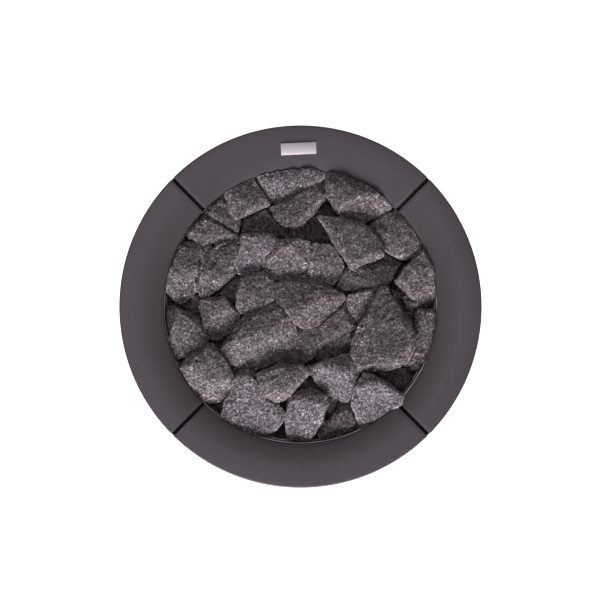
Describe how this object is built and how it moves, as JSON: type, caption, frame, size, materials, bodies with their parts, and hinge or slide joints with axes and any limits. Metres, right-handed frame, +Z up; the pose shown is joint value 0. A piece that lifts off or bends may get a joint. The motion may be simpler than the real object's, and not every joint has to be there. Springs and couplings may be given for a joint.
{
  "type": "electric sauna heater",
  "caption": "Round floor-standing electric sauna heater: quarter panels with an inward collar round a wire cage full of split stones, with knobs at the foot.",
  "frame": {"origin": "centre of the circle the heater covers on the floor", "axes": "+Z up, -Y towards the front, where the knobs are, +X to the right seen from the front"},
  "size_m": [0.48, 0.48, 0.7064],
  "materials": {
    "casing_coat": "satin fine texture powder coat",
    "black_coat": "matt black",
    "stainless_wire": "bright drawn wire",
    "zinc_sheet": "zinc coated sheet",
    "zinc_foot": "zinc plated",
    "element_sheath": "heat darkened",
    "split_stone": "rough split face",
    "badge_metal": "satin, blank",
    "black_plastic": "matt",
    "knob_plastic": "satin",
    "red_plastic": "satin"
  },
  "bodies": {
    "heater": {"badge_plate": "badge_metal", "base_plate": "black_coat", "cable_gland": "black_plastic", "casing_panel_back": "casing_coat", "casing_panel_front": "casing_coat", "casing_panel_left": "casing_coat", "casing_panel_right": "casing_coat", "control_box": "zinc_sheet", "control_fascia": "black_coat", "element_tray": "zinc_sheet", "frame_post_back_left": "black_coat", "frame_post_back_right": "black_coat", "frame_post_front_left": "black_coat", "frame_post_front_right": "black_coat", "heat_shield": "zinc_sheet", "heating_element_1": "element_sheath", "heating_element_2": "element_sheath", "heating_element_3": "element_sheath", "overheat_limiter": "black_plastic", "stone_01_centre": "split_stone", "stone_02_largest": "split_stone", "stone_03_broad_right": "split_stone", "stone_04_front_knob": "split_stone", "stone_05_left_front": "split_stone", "stone_06_slab_right": "split_stone", "stone_07_light_centre": "split_stone", "stone_08_back_right": "split_stone", "stone_09_back_centre": "split_stone", "stone_10_back_left": "split_stone", "stone_11_ridge_back": "split_stone", "stone_12_light_left": "split_stone", "stone_13_small_back": "split_stone", "stone_14_cracked_left": "split_stone", "stone_15_right_edge": "split_stone", "stone_16_front_right": "split_stone", "stone_17_front_wedge": "split_stone", "stone_18_front_centre": "split_stone", "stone_19_front_left": "split_stone", "stone_20_pebble_right": "split_stone", "stone_21_right_back": "split_stone", "stone_22_left_big": "split_stone", "stone_23_left_middle": "split_stone", "stone_24_left_edge": "split_stone", "stone_25_left_light": "split_stone", "stone_cage_back": "stainless_wire", "stone_cage_front": "stainless_wire", "stone_cage_left": "stainless_wire", "stone_cage_right": "stainless_wire", "stone_fill": "split_stone", "stone_grate": "zinc_sheet", "terminal_block": "black_plastic", "thermostat_body": "black_plastic", "timer_body": "black_plastic"},
    "timer_knob": {"timer_knob": "knob_plastic"},
    "thermostat_knob": {"thermostat_knob": "knob_plastic"},
    "reset_button": {"reset_button": "red_plastic"},
    "foot_back_right": {"levelling_foot_back_right": "zinc_foot"},
    "foot_back_left": {"levelling_foot_back_left": "zinc_foot"},
    "foot_front_left": {"levelling_foot_front_left": "zinc_foot"},
    "foot_front_right": {"levelling_foot_front_right": "zinc_foot"}
  },
  "joints": [
    {"name": "timer_turn", "type": "hinge", "parent": "heater", "child": "timer_knob", "pos_m": [-0.046, -0.22, 0.078], "axis": [0, 1, 0], "range_deg": [0, 300]},
    {"name": "thermostat_turn", "type": "hinge", "parent": "heater", "child": "thermostat_knob", "pos_m": [0.046, -0.22, 0.078], "axis": [0, 1, 0], "range_deg": [0, 270]},
    {"name": "reset_press", "type": "slide", "parent": "heater", "child": "reset_button", "axis": [0, 1, 0], "range_m": [0, 0.002], "stiffness_N_per_m": 600},
    {"name": "foot_turn_back_right", "type": "hinge", "parent": "heater", "child": "foot_back_right", "pos_m": [0.14142, 0.14142, 0.03], "axis": [0, 0, 1], "continuous": true},
    {"name": "foot_turn_back_left", "type": "hinge", "parent": "heater", "child": "foot_back_left", "pos_m": [-0.14142, 0.14142, 0.03], "axis": [0, 0, 1], "continuous": true},
    {"name": "foot_turn_front_left", "type": "hinge", "parent": "heater", "child": "foot_front_left", "pos_m": [-0.14142, -0.14142, 0.03], "axis": [0, 0, 1], "continuous": true},
    {"name": "foot_turn_front_right", "type": "hinge", "parent": "heater", "child": "foot_front_right", "pos_m": [0.14142, -0.14142, 0.03], "axis": [0, 0, 1], "continuous": true}
  ]
}
